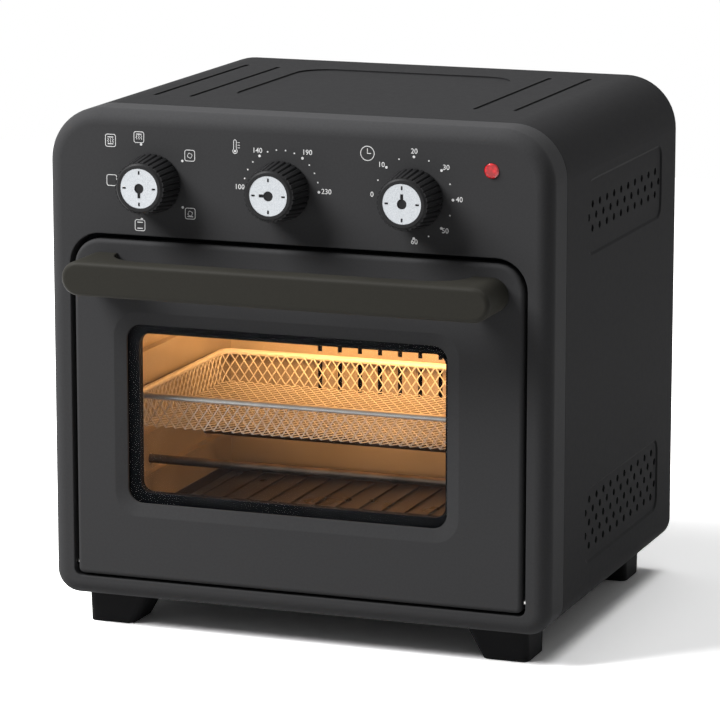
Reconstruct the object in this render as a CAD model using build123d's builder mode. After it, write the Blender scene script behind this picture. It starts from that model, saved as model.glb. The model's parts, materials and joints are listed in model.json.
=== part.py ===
"""Air fryer oven with a drop-down glass door, three dials and a wire basket.

Lengths are in millimetres. X is to the right, the door faces -Y and Z is up. The origin lies on the
table, under the middle of the whole object. Depths are counted backwards from the door's face.
"""
import os
from math import cos, pi, sin

from build123d import *

os.makedirs("parts", exist_ok=True)

# Driving dimensions of the body
WIDTH = 370.0
HEIGHT = 373.0
FOOT_HEIGHT = 23.0
BODY_DEPTH = 302.0
FACE_Y = -130.0
TOP_RADIUS = 38.0
LOW_RADIUS = 17.0
BEZEL_DEPTH = 35.0
BEZEL_WALL = 3.0
BEZEL_ROUND = 10.5
SEAM = 0.5
LIP_DEPTH = 5.0
SHEET = 1.5
FIT_GAP = 0.2

# Door and its opening in the bezel
OPENING_HALF = 168.7
OPENING_LOW = 37.0
OPENING_TOP = 285.7
OPENING_DEPTH = 16.0
DOOR_HALF = 165.8
DOOR_LOW = 39.1
DOOR_TOP = 281.6
DOOR_THICK = 14.0
DOOR_SKIN = 3.4
DOOR_WALL = 3.0
DOOR_ROUND = 3.0
HINGE_DEPTH = 7.0
HINGE_Z = 46.3
PIN_RADIUS = 2.5
RUNNING_GAP = 0.05

# Window in the door: left, right, low and top edge
RECESS = (-136.0, 120.0, 84.0, 231.0)
GLASS_OPENING = (-127.0, 111.0, 93.5, 222.0)
GLASS_PANE = (-134.0, 118.0, 86.5, 229.0)
INNER_OPENING = (-120.0, 108.0, 100.0, 215.0)
BEVEL_DEPTH = 2.2
GLASS_THICK = 4.0
FRAME_SHEET = 1.2

# Handle
HANDLE_LEFT = -157.3
HANDLE_RIGHT = 155.0
HANDLE_LOW = 247.9
HANDLE_HEIGHT = 24.4
HANDLE_REACH = 42.0
HANDLE_BAR = 14.0
HANDLE_FLARE = 28.0
POST_WIDTH = 25.0
HANDLE_SCREWS = [(x, HANDLE_LOW + HANDLE_HEIGHT / 2) for x in (HANDLE_LEFT + 12.5, HANDLE_RIGHT - 12.5)]

# Dials: the place across the front, and the direction that each pointer shows at rest
DIALS = {"function": (-105.0, -90.0), "temperature": (-9.5, 180.0), "timer": (87.0, 90.0)}
DIAL_Z = 322.9
KNOB_HEIGHT = 25.0
KNOB_GAP = 0.8
KNOB_BASE_RADIUS = 21.0
KNOB_FRONT_RADIUS = 18.25
KNOB_RIBS = 30
DISC_RADIUS = 13.85
SHAFT_RADIUS = 3.0
LAMP_X = 142.5
LAMP_Z = 345.0
LAMP_RADIUS = 5.3

# Cavity: its inner faces
CAVITY_LEFT = -145.0
CAVITY_RIGHT = 128.0
CAVITY_LOW = 64.0
CAVITY_TOP = 250.0
CAVITY_FRONT = OPENING_DEPTH + FRAME_SHEET
CAVITY_BACK = 240.0
CAVITY_SHEET = 1.0
RIDGE_REACH = 6.0
RIDGE_TOPS = (98.5, 129.0, 159.5, 190.0)

# Wire basket: the centre line of its rim
RIM_LEFT = -139.8
RIM_RIGHT = 122.8
RIM_FRONT = 43.5
RIM_BACK = 213.5
RIM_Z = 162.0
RIM_RADIUS = 2.2
BASKET_LOW = 139.0
NET_SHEET = 1.0
NET_INSET = 1.7

# Fan over the ceiling, between the two side walls
FAN_X = (CAVITY_LEFT + CAVITY_RIGHT) / 2
FAN_DEPTH = 135.0
FAN_RADIUS = 55.0
HOUSING_RADIUS = 68.0

# Elements, as depth and height of each rod
ROD_RADIUS = 3.25
ELEMENTS = {
    "upper_element_front": (75.0, 232.0),
    "upper_element_rear": (195.0, 232.0),
    "lower_element_front": (85.0, 106.0),
    "lower_element_rear": (190.0, 106.0),
}


def face_plane(depth):
    """Upright plane so far behind the door's face; X runs right, Y up, and it looks to the front."""
    return Plane(origin=(0, FACE_Y + depth, 0), x_dir=(1, 0, 0), z_dir=(0, -1, 0))


def side_plane(x):
    """Upright plane across the body at x; its X runs to the back and its Y up."""
    return Plane(origin=(x, FACE_Y, 0), x_dir=(0, 1, 0), z_dir=(1, 0, 0))


def floor_plane(height):
    """Level plane at this height, with its origin below the door's face."""
    return Plane(origin=(0, FACE_Y, height), x_dir=(1, 0, 0), z_dir=(0, 0, 1))


def panel_face(left, right, low, top, top_radius, low_radius):
    """Rectangle with one radius for its top corners and another for its low ones."""
    with BuildSketch(mode=Mode.PRIVATE) as face:
        with Locations(((left + right) / 2, (low + top) / 2)):
            Rectangle(right - left, top - low)
        fillet(face.vertices().group_by(Axis.Y)[-1], top_radius)
        fillet(face.vertices().group_by(Axis.Y)[0], low_radius)
    return face.sketch


def body_face(inset):
    """Front outline of the body, drawn in by the inset."""
    return panel_face(-WIDTH / 2 + inset, WIDTH / 2 - inset, FOOT_HEIGHT + inset, HEIGHT - inset,
                      TOP_RADIUS - inset, LOW_RADIUS - inset)


def opening_face(grow):
    """Outline of the door's opening, let out by grow."""
    return panel_face(-OPENING_HALF - grow, OPENING_HALF + grow, OPENING_LOW - grow,
                      OPENING_TOP + grow, 23.0 + grow, 6.0 + grow)


def door_face(inset):
    """Outline of the door, drawn in by the inset."""
    return panel_face(-DOOR_HALF + inset, DOOR_HALF - inset, DOOR_LOW + inset, DOOR_TOP - inset,
                      20.0 - inset, 4.0)


def window_face(edges, radius):
    """Outline of one of the window's rectangles."""
    return panel_face(*edges, radius, radius)


def cavity_face(grow):
    """Cross-section of the cavity, let out by grow."""
    return panel_face(CAVITY_LEFT - grow, CAVITY_RIGHT + grow, CAVITY_LOW - grow,
                      CAVITY_TOP + grow, 4.0, 4.0)


# Front bezel: one moulding with the control panel, the door's opening and the hinge bosses
BOSS_RADIUS = 6.0
BOSS_REACH = 179.0
BRACKET_DEPTH = 20.0
BRACKET_BOSSES = [(-160.0, 303.0), (160.0, 303.0), (-160.0, 335.0), (160.0, 335.0)]
with BuildPart() as front_bezel:
    with BuildSketch(face_plane(0)):
        add(body_face(0))
    extrude(amount=-BEZEL_DEPTH)
    fillet(front_bezel.faces().sort_by(Axis.Y)[0].edges(), BEZEL_ROUND)
    chamfer(front_bezel.faces().sort_by(Axis.Y)[-1].edges(), SEAM)
    offset(amount=-BEZEL_WALL, openings=front_bezel.faces().sort_by(Axis.Y)[-1])
    with BuildSketch(face_plane(0)):
        add(opening_face(0))
    extrude(amount=-BEZEL_WALL - 1, mode=Mode.SUBTRACT)
    with BuildSketch(face_plane(0)):
        add(opening_face(BEZEL_WALL))
        add(opening_face(0), mode=Mode.SUBTRACT)
    extrude(amount=-OPENING_DEPTH)
    with BuildSketch(face_plane(BEZEL_DEPTH - BEZEL_WALL)):
        add(body_face(SHEET + FIT_GAP))
        add(body_face(SHEET + FIT_GAP + 1.6), mode=Mode.SUBTRACT)
    extrude(amount=-BEZEL_WALL - LIP_DEPTH)
    for side in (-1, 1):
        with BuildSketch(side_plane(side * OPENING_HALF)):
            with Locations((HINGE_DEPTH, HINGE_Z)):
                Circle(BOSS_RADIUS)
        extrude(amount=side * (BOSS_REACH - OPENING_HALF))
        with BuildSketch(side_plane(side * OPENING_HALF)):
            with Locations((HINGE_DEPTH, HINGE_Z)):
                Circle(PIN_RADIUS + RUNNING_GAP)
        extrude(amount=side * (BOSS_REACH - OPENING_HALF), mode=Mode.SUBTRACT)
    with BuildSketch(face_plane(BEZEL_WALL)):
        with Locations(*BRACKET_BOSSES):
            Circle(4.5)
    extrude(amount=-(BRACKET_DEPTH - BEZEL_WALL))
    with BuildSketch(face_plane(BRACKET_DEPTH)):
        with Locations(*BRACKET_BOSSES):
            Circle(1.5)
    extrude(amount=10.0, mode=Mode.SUBTRACT)
    with BuildSketch(face_plane(0)):
        with Locations(*[(x, DIAL_Z) for x, _ in DIALS.values()]):
            Circle(SHAFT_RADIUS + 1.2)
        with Locations((LAMP_X, LAMP_Z)):
            Circle(LAMP_RADIUS - 0.2)
    extrude(amount=-BEZEL_WALL, mode=Mode.SUBTRACT)
front_bezel.part.label = "front_bezel"
export_step(front_bezel.part, "parts/front_bezel.step")

# Outer wrap: bent sheet with pressed side panels, vent holes, a pressed top panel and grooves
WRAP_LENGTH = BODY_DEPTH - BEZEL_DEPTH
PRESS_DEPTH = 1.0
PRESS_TAPER = 60.0
SIDE_PANEL = (84.0, 266.0)
UPPER_PANEL = (274.5, 328.5)
LOWER_PANEL = (54.5, 109.0)
VENT_RADIUS = 2.9
VENT_PITCH = 17.2
VENT_START = 97.0
VENT_ROWS = [(310.0, 0), (301.5, 1), (293.0, 0), (100.0, 0), (91.7, 1), (83.4, 0), (75.0, 1), (66.7, 0)]
TOP_PANEL = (-88.0, 78.0, 95.0, 257.0)
TOP_GROOVES = [(-137.0, 80.0, 259.0), (-110.0, 81.0, 254.0), (100.0, 89.0, 264.0), (129.0, 91.0, 269.0)]
BOTTOM_FLANGE = 140.0


def vent_places():
    """Depth and height of each vent hole in one side, in staggered rows."""
    places = []
    for height, shifted in VENT_ROWS:
        start = VENT_START - shifted * VENT_PITCH / 2
        places += [(start + VENT_PITCH * i, height) for i in range(10 + shifted)]
    return places


def side_panels():
    """The two pressed panels of one side."""
    with BuildSketch(mode=Mode.PRIVATE) as panels:
        for low, top in (UPPER_PANEL, LOWER_PANEL):
            with Locations((sum(SIDE_PANEL) / 2, (low + top) / 2)):
                RectangleRounded(SIDE_PANEL[1] - SIDE_PANEL[0], top - low, 10)
    return panels.sketch


def top_shapes(grow):
    """The pressed panel and the grooves of the top, let out by grow."""
    left, right, front, back = TOP_PANEL
    with BuildSketch(mode=Mode.PRIVATE) as shapes:
        with Locations(((left + right) / 2, (front + back) / 2)):
            RectangleRounded(right - left + 2 * grow, back - front + 2 * grow, 25 + grow)
        for x, start, end in TOP_GROOVES:
            with Locations((x, (start + end) / 2)):
                SlotOverall(end - start + 2 * grow, 3.5 + 2 * grow, rotation=90)
    return shapes.sketch


with BuildPart() as outer_wrap:
    with BuildSketch(face_plane(BEZEL_DEPTH)):
        add(body_face(0))
        add(body_face(SHEET), mode=Mode.SUBTRACT)
        with Locations((0, FOOT_HEIGHT)):
            Rectangle(2 * BOTTOM_FLANGE, 4 * SHEET, mode=Mode.SUBTRACT)
    extrude(amount=-WRAP_LENGTH)
    for side in (-1, 1):
        with BuildSketch(side_plane(side * (WIDTH / 2 - SHEET))):
            add(side_panels())
        extrude(amount=-side * PRESS_DEPTH)
        with BuildSketch(side_plane(side * WIDTH / 2)):
            add(side_panels())
        extrude(amount=-side * PRESS_DEPTH, taper=PRESS_TAPER, mode=Mode.SUBTRACT)
        with BuildSketch(side_plane(side * WIDTH / 2)):
            with Locations(*vent_places()):
                RegularPolygon(VENT_RADIUS, 6)
        extrude(amount=-side * (SHEET + 2 * PRESS_DEPTH), mode=Mode.SUBTRACT)
    with BuildSketch(floor_plane(HEIGHT - SHEET)):
        add(top_shapes(1.0))
    extrude(amount=-PRESS_DEPTH)
    with BuildSketch(floor_plane(HEIGHT)):
        add(top_shapes(0))
    extrude(amount=-PRESS_DEPTH, mode=Mode.SUBTRACT)
    with BuildSketch(floor_plane(FOOT_HEIGHT)):
        with Locations(*[(x, depth) for x in (-150, 150) for depth in (46, 272)]):
            Circle(2.2)
    extrude(amount=SHEET, mode=Mode.SUBTRACT)
outer_wrap.part.label = "outer_wrap"
export_step(outer_wrap.part, "parts/outer_wrap.step")

# Back panel: plate let into the wrap's rear end, with air slots and the hole of the mains lead
BACK_DEPTH = 299.0
LEAD_PLACE = (-140.0, 62.0)
BACK_SCREWS = [(-150, 340), (150, 340), (-170, 200), (170, 200), (-150, 45), (150, 45)]
with BuildPart() as back_panel:
    with BuildSketch(face_plane(BACK_DEPTH)):
        add(body_face(SHEET + FIT_GAP))
        with Locations((0, 310)):
            with GridLocations(14, 26, 12, 2):
                Rectangle(4, 20, mode=Mode.SUBTRACT)
        with Locations(LEAD_PLACE):
            Circle(9, mode=Mode.SUBTRACT)
        with Locations(*BACK_SCREWS):
            Circle(1.7, mode=Mode.SUBTRACT)
    extrude(amount=-SHEET)
    with BuildSketch(face_plane(BACK_DEPTH)):
        add(body_face(SHEET + FIT_GAP))
        add(body_face(2 * SHEET + FIT_GAP), mode=Mode.SUBTRACT)
    extrude(amount=8.0)
back_panel.part.label = "back_panel"
export_step(back_panel.part, "parts/back_panel.step")

with BuildPart() as back_panel_screws:
    with BuildSketch(face_plane(BACK_DEPTH + SHEET)):
        with Locations(*BACK_SCREWS):
            Circle(3.2)
    extrude(amount=-1.2)
    with BuildSketch(face_plane(BACK_DEPTH + SHEET)):
        with Locations(*BACK_SCREWS):
            Circle(1.5)
    extrude(amount=8.0)
back_panel_screws.part.label = "back_panel_screws"
export_step(back_panel_screws.part, "parts/back_panel_screws.step")

# Gland of the mains lead, held in the back panel
with BuildPart() as cord_bushing:
    with BuildSketch(face_plane(BODY_DEPTH)):
        with Locations(LEAD_PLACE):
            Circle(12)
    extrude(amount=BODY_DEPTH - BACK_DEPTH - SHEET)
    with BuildSketch(face_plane(BODY_DEPTH)):
        with Locations(LEAD_PLACE):
            Circle(9)
    extrude(amount=8.0)
    with BuildSketch(face_plane(BODY_DEPTH)):
        with Locations(LEAD_PLACE):
            Circle(3.6)
    extrude(amount=8.0, mode=Mode.SUBTRACT)
cord_bushing.part.label = "cord_bushing"
export_step(cord_bushing.part, "parts/cord_bushing.step")

# Bottom plate, lying on the wrap's flanges
with BuildPart() as bottom_plate:
    with BuildSketch(floor_plane(FOOT_HEIGHT + SHEET)):
        with Locations((0, (42 + 290) / 2)):
            Rectangle(316, 290 - 42)
            with GridLocations(24, 60, 9, 3):
                Rectangle(5, 40, mode=Mode.SUBTRACT)
        with Locations(*[(x, depth) for x in (-150, 150) for depth in (46, 272)]):
            Circle(2.2, mode=Mode.SUBTRACT)
    extrude(amount=SHEET)
bottom_plate.part.label = "bottom_plate"
export_step(bottom_plate.part, "parts/bottom_plate.step")

# Feet: blocks that narrow downwards on their inner side, screwed up into flange and plate
FOOT_OUTER = 165.0
FOOT_TOP_INNER = 119.0
FOOT_LOW_INNER = 131.6
FOOT_SCREW_X = 150.0
FEET = {"front_feet": (16.0, 57.0, 46.0), "rear_feet": (252.0, 290.0, 272.0)}
for node, (front, back, screw_depth) in FEET.items():
    with BuildPart() as feet:
        for side in (-1, 1):
            with BuildSketch(floor_plane(FOOT_HEIGHT)):
                with Locations((side * (FOOT_OUTER + FOOT_TOP_INNER) / 2, (front + back) / 2)):
                    RectangleRounded(FOOT_OUTER - FOOT_TOP_INNER, back - front, 5)
            with BuildSketch(floor_plane(0)):
                with Locations((side * (FOOT_OUTER + FOOT_LOW_INNER) / 2, (front + back) / 2)):
                    RectangleRounded(FOOT_OUTER - FOOT_LOW_INNER, back - front - 4, 5)
            loft()
            with BuildSketch(floor_plane(0)):
                with Locations((side * FOOT_SCREW_X, screw_depth)):
                    Circle(4.5)
            extrude(amount=12.0, mode=Mode.SUBTRACT)
            with BuildSketch(floor_plane(0)):
                with Locations((side * FOOT_SCREW_X, screw_depth)):
                    Circle(2.2)
            extrude(amount=FOOT_HEIGHT, mode=Mode.SUBTRACT)
    feet.part.label = node
    export_step(feet.part, f"parts/{node}.step")

with BuildPart() as foot_screws:
    with BuildSketch(floor_plane(12.0)):
        with Locations(*[(x, depth) for x in (-150, 150) for depth in (46, 272)]):
            Circle(4.0)
    extrude(amount=-3.0)
    with BuildSketch(floor_plane(12.0)):
        with Locations(*[(x, depth) for x in (-150, 150) for depth in (46, 272)]):
            Circle(2.0)
    extrude(amount=19.0)
foot_screws.part.label = "foot_screws"
export_step(foot_screws.part, "parts/foot_screws.step")

# Door arms are strips bent round the hinge axis; they ride through slots in the front frame
ARM_X = 158.0
ARM_SHEET = 1.6
ARM_RADIUS = 60.0
ARM_WIDTH = 8.0
ARM_SLOT = (100.4, 111.0)

# Cavity front frame: steel plate behind the opening's wall
with BuildPart() as cavity_front_frame:
    with BuildSketch(face_plane(OPENING_DEPTH)):
        add(opening_face(2.5))
        add(cavity_face(0), mode=Mode.SUBTRACT)
        for side in (-1, 1):
            with Locations((side * ARM_X, sum(ARM_SLOT) / 2)):
                Rectangle(ARM_SHEET + 3.0, ARM_SLOT[1] - ARM_SLOT[0], mode=Mode.SUBTRACT)
    extrude(amount=-FRAME_SHEET)
cavity_front_frame.part.label = "cavity_front_frame"
export_step(cavity_front_frame.part, "parts/cavity_front_frame.step")

# Cavity walls: sheets with pressed guide ridges and holes for the elements' ends
WALL_LENGTH = CAVITY_BACK - CAVITY_FRONT
OVEN_LAMP = (205.0, 208.5)
for node, side, wall_x in (("cavity_left_wall", -1, CAVITY_LEFT), ("cavity_right_wall", 1, CAVITY_RIGHT)):
    with BuildPart() as cavity_wall:
        with BuildSketch(side_plane(wall_x)):
            with Locations((CAVITY_FRONT + WALL_LENGTH / 2, (CAVITY_LOW + CAVITY_TOP) / 2)):
                Rectangle(WALL_LENGTH, CAVITY_TOP - CAVITY_LOW)
            with Locations(*ELEMENTS.values()):
                Circle(4.5, mode=Mode.SUBTRACT)
            if side == 1:
                with Locations(OVEN_LAMP):
                    Circle(12.0, mode=Mode.SUBTRACT)
        extrude(amount=side * CAVITY_SHEET)
        with BuildSketch(face_plane(CAVITY_FRONT + 8)):
            for top in RIDGE_TOPS:
                with BuildLine():
                    Polyline((wall_x, top), (wall_x - side * RIDGE_REACH, top),
                             (wall_x - side * RIDGE_REACH, top - 3), (wall_x, top - 6), close=True)
                make_face()
        extrude(amount=-(WALL_LENGTH - 16))
    cavity_wall.part.label = node
    export_step(cavity_wall.part, f"parts/{node}.step")

with BuildPart() as cavity_back_wall:
    with BuildSketch(face_plane(CAVITY_BACK)):
        with Locations(((CAVITY_LEFT + CAVITY_RIGHT) / 2, (CAVITY_LOW + CAVITY_TOP) / 2)):
            Rectangle(CAVITY_RIGHT - CAVITY_LEFT + 2, CAVITY_TOP - CAVITY_LOW + 2)
            with GridLocations(16, 30, 9, 2):
                Rectangle(3.5, 22, mode=Mode.SUBTRACT)
    extrude(amount=-CAVITY_SHEET)
cavity_back_wall.part.label = "cavity_back_wall"
export_step(cavity_back_wall.part, "parts/cavity_back_wall.step")

with BuildPart() as cavity_ceiling:
    with BuildSketch(floor_plane(CAVITY_TOP)):
        with Locations((FAN_X, CAVITY_FRONT + WALL_LENGTH / 2)):
            Rectangle(CAVITY_RIGHT - CAVITY_LEFT + 2, WALL_LENGTH)
        with Locations((FAN_X, FAN_DEPTH)):
            Circle(FAN_RADIUS + 3, mode=Mode.SUBTRACT)
    extrude(amount=CAVITY_SHEET)
cavity_ceiling.part.label = "cavity_ceiling"
export_step(cavity_ceiling.part, "parts/cavity_ceiling.step")

with BuildPart() as cavity_floor:
    with BuildSketch(floor_plane(CAVITY_LOW)):
        with Locations((FAN_X, CAVITY_FRONT + WALL_LENGTH / 2)):
            Rectangle(CAVITY_RIGHT - CAVITY_LEFT + 2, WALL_LENGTH)
    extrude(amount=-CAVITY_SHEET)
cavity_floor.part.label = "cavity_floor"
export_step(cavity_floor.part, "parts/cavity_floor.step")

# Heating elements, straight rods whose ends sit in ceramic insulators outside the walls
for node, (depth, height) in ELEMENTS.items():
    with BuildPart() as element:
        with BuildSketch(side_plane(CAVITY_LEFT - 15)):
            with Locations((depth, height)):
                Circle(ROD_RADIUS)
        extrude(amount=CAVITY_RIGHT - CAVITY_LEFT + 30)
    element.part.label = node
    export_step(element.part, f"parts/{node}.step")

with BuildPart() as element_insulators:
    for x in (CAVITY_LEFT - CAVITY_SHEET - 6, CAVITY_RIGHT + CAVITY_SHEET):
        with BuildSketch(side_plane(x)):
            with Locations(*ELEMENTS.values()):
                Circle(7)
            with Locations(*ELEMENTS.values()):
                Circle(ROD_RADIUS, mode=Mode.SUBTRACT)
        extrude(amount=6.0)
element_insulators.part.label = "element_insulators"
export_step(element_insulators.part, "parts/element_insulators.step")

# Oven lamp in the right wall: socket outside the cavity, low glass dome inside
with BuildPart() as oven_lamp_base:
    with BuildSketch(side_plane(CAVITY_RIGHT + CAVITY_SHEET)):
        with Locations(OVEN_LAMP):
            Circle(16)
            Circle(11, mode=Mode.SUBTRACT)
    extrude(amount=3.0)
    with BuildSketch(side_plane(CAVITY_RIGHT + CAVITY_SHEET + 3)):
        with Locations(OVEN_LAMP):
            Circle(14)
    extrude(amount=22.0)
oven_lamp_base.part.label = "oven_lamp_base"
export_step(oven_lamp_base.part, "parts/oven_lamp_base.step")

with BuildPart() as oven_lamp_glass:
    with BuildSketch(side_plane(CAVITY_RIGHT + CAVITY_SHEET + 3)):
        with Locations(OVEN_LAMP):
            Circle(10.8)
    extrude(amount=-11.0)
    chamfer(oven_lamp_glass.faces().sort_by(Axis.X)[0].edges(), 4)
oven_lamp_glass.part.label = "oven_lamp_glass"
export_step(oven_lamp_glass.part, "parts/oven_lamp_glass.step")

# Fan: slotted guard under the ceiling, impeller in its pan, motor on a bridge over the pan
HOUSING_TOP = 281.0
GUARD_RADIUS = FAN_RADIUS + 9
with BuildPart() as fan_guard:
    with BuildSketch(floor_plane(CAVITY_TOP)):
        with Locations((FAN_X, FAN_DEPTH)):
            Circle(GUARD_RADIUS)
            for radius, count in ((20, 8), (42, 14)):
                with PolarLocations(radius, count):
                    Rectangle(18, 5, mode=Mode.SUBTRACT)
    extrude(amount=-CAVITY_SHEET)
fan_guard.part.label = "fan_guard"
export_step(fan_guard.part, "parts/fan_guard.step")

with BuildPart() as fan_housing:
    with BuildSketch(floor_plane(CAVITY_TOP + CAVITY_SHEET)):
        with Locations((FAN_X, FAN_DEPTH)):
            Circle(HOUSING_RADIUS)
    extrude(amount=HOUSING_TOP - CAVITY_TOP - CAVITY_SHEET)
    with BuildSketch(floor_plane(CAVITY_TOP + CAVITY_SHEET)):
        with Locations((FAN_X, FAN_DEPTH)):
            Circle(HOUSING_RADIUS - CAVITY_SHEET)
    extrude(amount=HOUSING_TOP - CAVITY_TOP - 2 * CAVITY_SHEET, mode=Mode.SUBTRACT)
    with BuildSketch(floor_plane(HOUSING_TOP)):
        with Locations((FAN_X, FAN_DEPTH)):
            Circle(8)
    extrude(amount=-CAVITY_SHEET, mode=Mode.SUBTRACT)
    with BuildSketch(floor_plane(CAVITY_TOP + CAVITY_SHEET)):
        with Locations((FAN_X, FAN_DEPTH)):
            Circle(HOUSING_RADIUS + 8)
            Circle(HOUSING_RADIUS - CAVITY_SHEET, mode=Mode.SUBTRACT)
    extrude(amount=CAVITY_SHEET)
fan_housing.part.label = "fan_housing"
export_step(fan_housing.part, "parts/fan_housing.step")

IMPELLER_LOW = 256.0
IMPELLER_TOP = 272.0
BLADES = 10
with BuildPart() as fan_impeller:
    with BuildSketch(floor_plane(IMPELLER_TOP)):
        with Locations((FAN_X, FAN_DEPTH)):
            Circle(FAN_RADIUS - 8)
            Circle(SHAFT_RADIUS, mode=Mode.SUBTRACT)
    extrude(amount=1.2)
    with BuildSketch(floor_plane(IMPELLER_LOW)):
        with Locations((FAN_X, FAN_DEPTH)):
            with PolarLocations(FAN_RADIUS - 20, BLADES, start_angle=0):
                Rectangle(32, 1.4, rotation=28)
    extrude(amount=IMPELLER_TOP - IMPELLER_LOW)
    with BuildSketch(floor_plane(IMPELLER_LOW + 6)):
        with Locations((FAN_X, FAN_DEPTH)):
            Circle(8)
            Circle(SHAFT_RADIUS, mode=Mode.SUBTRACT)
    extrude(amount=IMPELLER_TOP - IMPELLER_LOW - 6)
fan_impeller.part.label = "fan_impeller"
export_step(fan_impeller.part, "parts/fan_impeller.step")

with BuildPart() as cooling_blade:
    with BuildSketch(floor_plane(286.0)):
        with Locations((FAN_X, FAN_DEPTH)):
            Circle(9)
            with PolarLocations(22, 6):
                Rectangle(32, 9)
            Circle(SHAFT_RADIUS, mode=Mode.SUBTRACT)
    extrude(amount=3.0)
cooling_blade.part.label = "cooling_blade"
export_step(cooling_blade.part, "parts/cooling_blade.step")

BRIDGE_TOP = 299.5
STATOR_TOP = 324.5
with BuildPart() as fan_shaft:
    with BuildSketch(floor_plane(IMPELLER_LOW + 3)):
        with Locations((FAN_X, FAN_DEPTH)):
            Circle(SHAFT_RADIUS)
    extrude(amount=77.0)
fan_shaft.part.label = "fan_shaft"
export_step(fan_shaft.part, "parts/fan_shaft.step")

with BuildPart() as motor_rotor:
    with BuildSketch(floor_plane(BRIDGE_TOP + 1.5)):
        with Locations((FAN_X, FAN_DEPTH)):
            Circle(13)
            Circle(SHAFT_RADIUS, mode=Mode.SUBTRACT)
    extrude(amount=STATOR_TOP - BRIDGE_TOP - 1.5)
motor_rotor.part.label = "motor_rotor"
export_step(motor_rotor.part, "parts/motor_rotor.step")

with BuildPart() as motor_stator:
    with BuildSketch(floor_plane(BRIDGE_TOP)):
        with Locations((FAN_X, FAN_DEPTH)):
            RectangleRounded(64, 60, 5)
            Circle(14, mode=Mode.SUBTRACT)
    extrude(amount=STATOR_TOP - BRIDGE_TOP)
motor_stator.part.label = "motor_stator"
export_step(motor_stator.part, "parts/motor_stator.step")

BEARING_RADIUS = 7.0
with BuildPart() as motor_bracket:
    with BuildSketch(floor_plane(BRIDGE_TOP - SHEET)):
        with Locations((FAN_X, FAN_DEPTH)):
            Rectangle(106, 34)
            Circle(BEARING_RADIUS, mode=Mode.SUBTRACT)
    extrude(amount=SHEET)
    for side in (-1, 1):
        with BuildSketch(floor_plane(HOUSING_TOP)):
            with Locations((FAN_X + side * 52.25, FAN_DEPTH)):
                Rectangle(SHEET, 34)
        extrude(amount=BRIDGE_TOP - HOUSING_TOP)
motor_bracket.part.label = "motor_bracket"
export_step(motor_bracket.part, "parts/motor_bracket.step")

TOP_BRIDGE = 331.5
with BuildPart() as motor_top_bridge:
    with BuildSketch(floor_plane(TOP_BRIDGE - SHEET)):
        with Locations((FAN_X, FAN_DEPTH)):
            Rectangle(60, 18)
            Circle(BEARING_RADIUS, mode=Mode.SUBTRACT)
    extrude(amount=SHEET)
    for side in (-1, 1):
        with BuildSketch(floor_plane(STATOR_TOP)):
            with Locations((FAN_X + side * 29, FAN_DEPTH)):
                Rectangle(2, 18)
        extrude(amount=TOP_BRIDGE - STATOR_TOP)
motor_top_bridge.part.label = "motor_top_bridge"
export_step(motor_top_bridge.part, "parts/motor_top_bridge.step")

with BuildPart() as motor_bearings:
    for height in (BRIDGE_TOP - SHEET, TOP_BRIDGE - SHEET):
        with BuildSketch(floor_plane(height)):
            with Locations((FAN_X, FAN_DEPTH)):
                Circle(BEARING_RADIUS)
                Circle(SHAFT_RADIUS + RUNNING_GAP, mode=Mode.SUBTRACT)
        extrude(amount=SHEET)
motor_bearings.part.label = "motor_bearings"
export_step(motor_bearings.part, "parts/motor_bearings.step")

# Control bracket behind the panel, with the three mechanisms that the dials turn
with BuildPart() as control_bracket:
    with BuildSketch(face_plane(BRACKET_DEPTH)):
        with Locations((0, 319)):
            RectangleRounded(334, 46, 3)
        with Locations(*BRACKET_BOSSES):
            Circle(2.0, mode=Mode.SUBTRACT)
        with Locations(*[(x, DIAL_Z) for x, _ in DIALS.values()]):
            Circle(SHAFT_RADIUS + RUNNING_GAP, mode=Mode.SUBTRACT)
    extrude(amount=-SHEET)
control_bracket.part.label = "control_bracket"
export_step(control_bracket.part, "parts/control_bracket.step")

with BuildPart() as bracket_screws:
    with BuildSketch(face_plane(BRACKET_DEPTH + SHEET)):
        with Locations(*BRACKET_BOSSES):
            Circle(3.4)
    extrude(amount=-2.0)
    with BuildSketch(face_plane(BRACKET_DEPTH + SHEET)):
        with Locations(*BRACKET_BOSSES):
            Circle(1.5)
    extrude(amount=10.0)
bracket_screws.part.label = "bracket_screws"
export_step(bracket_screws.part, "parts/bracket_screws.step")

MECHANISMS = {
    "selector_switch": ("function", RectangleRounded(42, 42, 4).face(), 20.0),
    "thermostat": ("temperature", RectangleRounded(36, 30, 3).face(), 24.0),
    "timer_movement": ("timer", RectangleRounded(50, 44, 12).face(), 30.0),
}
SHAFT_END = 30.0
for node, (dial, outline, length) in MECHANISMS.items():
    with BuildPart() as mechanism:
        with BuildSketch(face_plane(BRACKET_DEPTH + SHEET)):
            with Locations((DIALS[dial][0], DIAL_Z)):
                add(outline)
        extrude(amount=-length)
        with BuildSketch(face_plane(BRACKET_DEPTH + SHEET)):
            with Locations((DIALS[dial][0], DIAL_Z)):
                Circle(SHAFT_RADIUS + 0.6)
        extrude(amount=-(SHAFT_END - BRACKET_DEPTH), mode=Mode.SUBTRACT)
    mechanism.part.label = node
    export_step(mechanism.part, f"parts/{node}.step")

# Indicator: lens in the panel and its holder behind
with BuildPart() as indicator_lens:
    with BuildSketch(face_plane(BEZEL_WALL)):
        with Locations((LAMP_X, LAMP_Z)):
            Circle(LAMP_RADIUS - 0.2)
    extrude(amount=BEZEL_WALL + 1.2)
    chamfer(indicator_lens.faces().sort_by(Axis.Y)[0].edges(), 0.8)
    with BuildSketch(face_plane(BEZEL_WALL)):
        with Locations((LAMP_X, LAMP_Z)):
            Circle(LAMP_RADIUS + 1.2)
    extrude(amount=-1.5)
indicator_lens.part.label = "indicator_lens"
export_step(indicator_lens.part, "parts/indicator_lens.step")

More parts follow.
